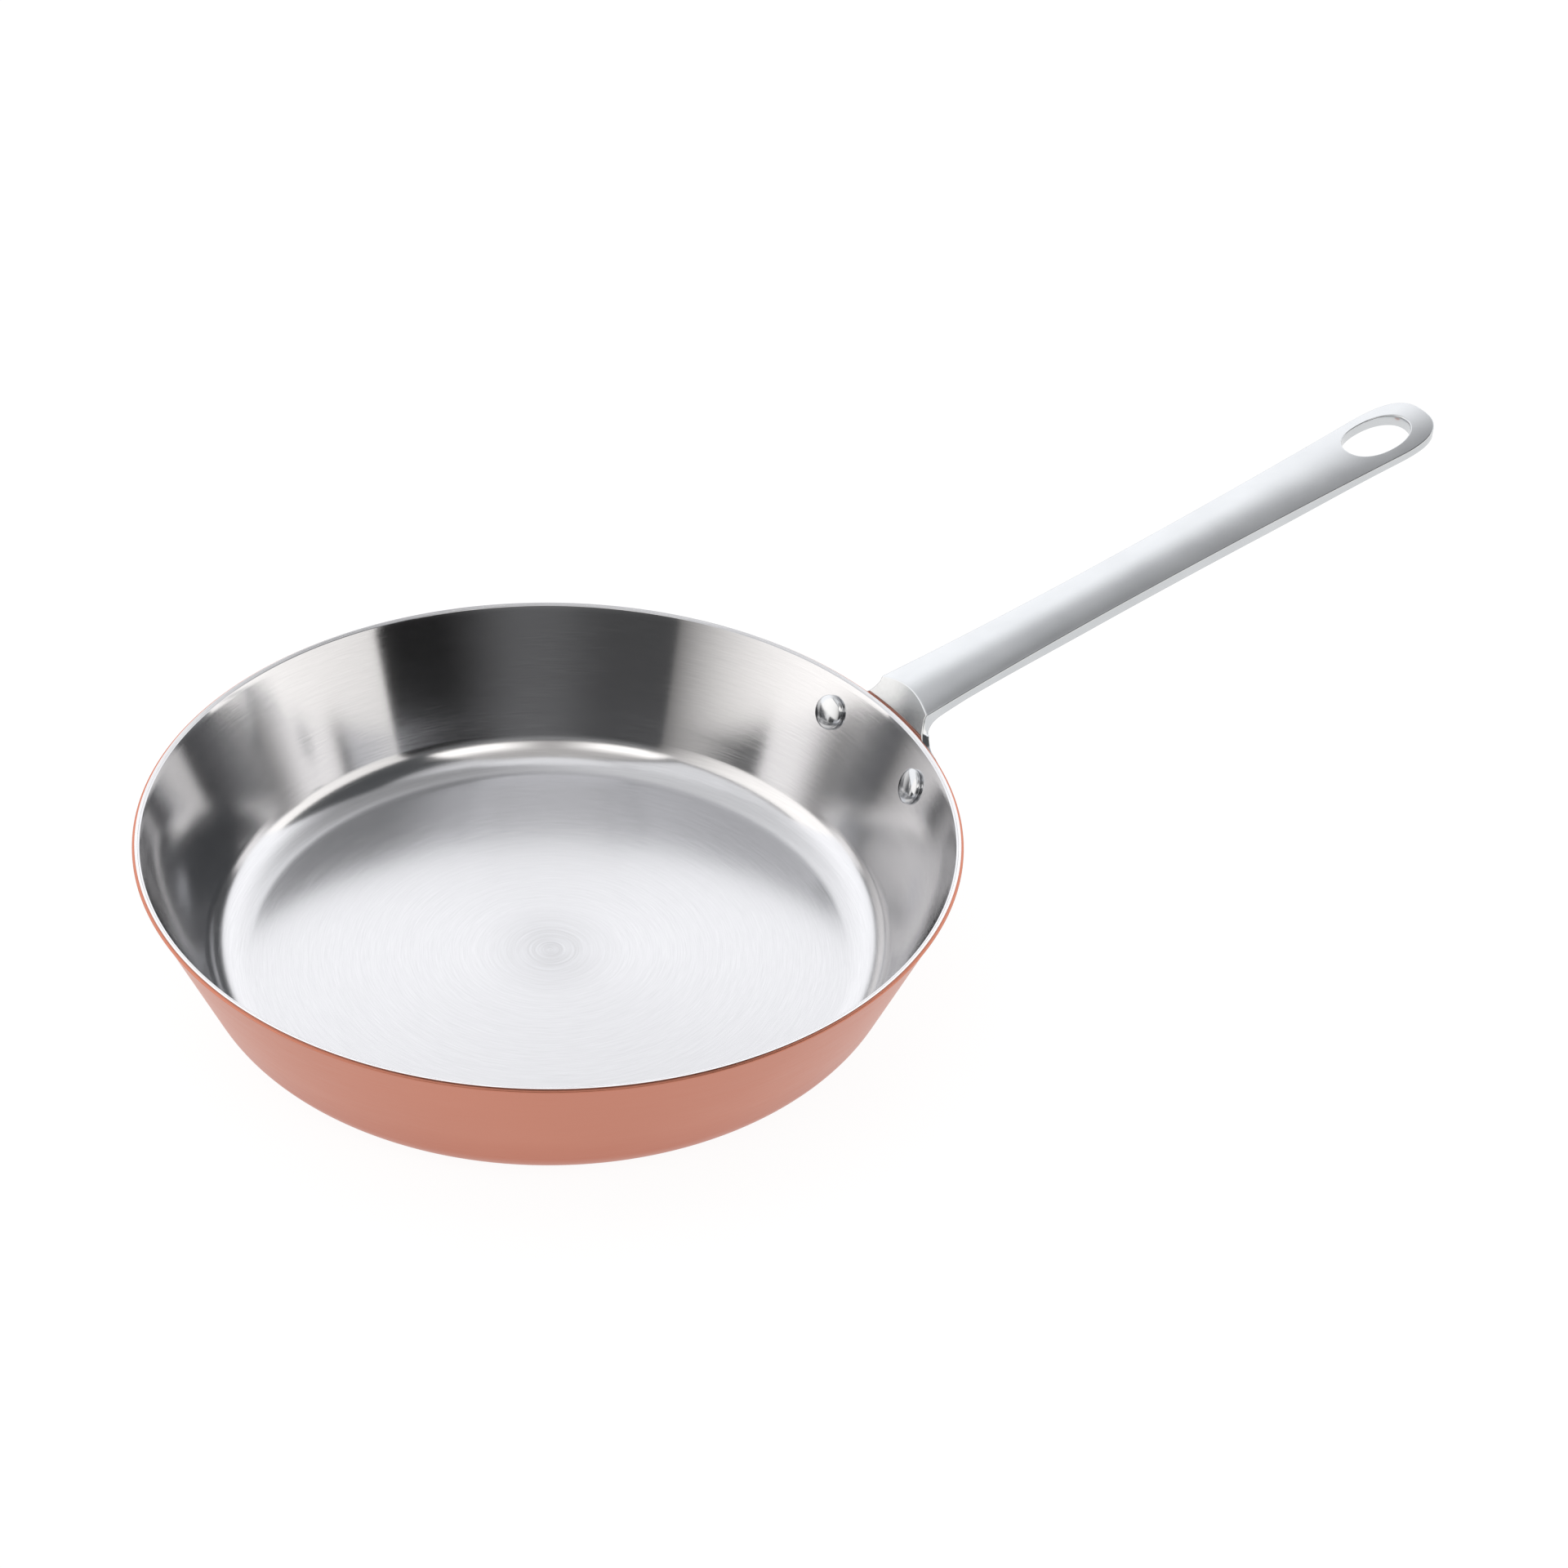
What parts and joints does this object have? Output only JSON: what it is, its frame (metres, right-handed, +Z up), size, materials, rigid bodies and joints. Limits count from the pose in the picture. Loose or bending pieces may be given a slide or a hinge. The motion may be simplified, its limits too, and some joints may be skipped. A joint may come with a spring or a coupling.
{
  "type": "frying pan",
  "caption": "Shallow round frying pan with flared copper-clad walls, a brushed steel inside and a long flat riveted handle with a hanging hole.",
  "frame": {"origin": "centre of the pan's flat underside", "axes": "+Z up, +X along the handle away from the pan, +Y completes the right hand"},
  "size_m": [0.4745, 0.2598, 0.1101],
  "materials": {
    "copper": null,
    "core": "cut edge of the aluminium core",
    "lining": "fine circular brushing",
    "handle_steel": "bright polished cast stainless steel",
    "rivet_steel": "bright polished stainless steel"
  },
  "bodies": {
    "root": {"copper_shell": "copper", "aluminium_core": "core", "steel_lining": "lining", "handle": "handle_steel", "rivet_left": "rivet_steel", "rivet_right": "rivet_steel"}
  },
  "joints": []
}
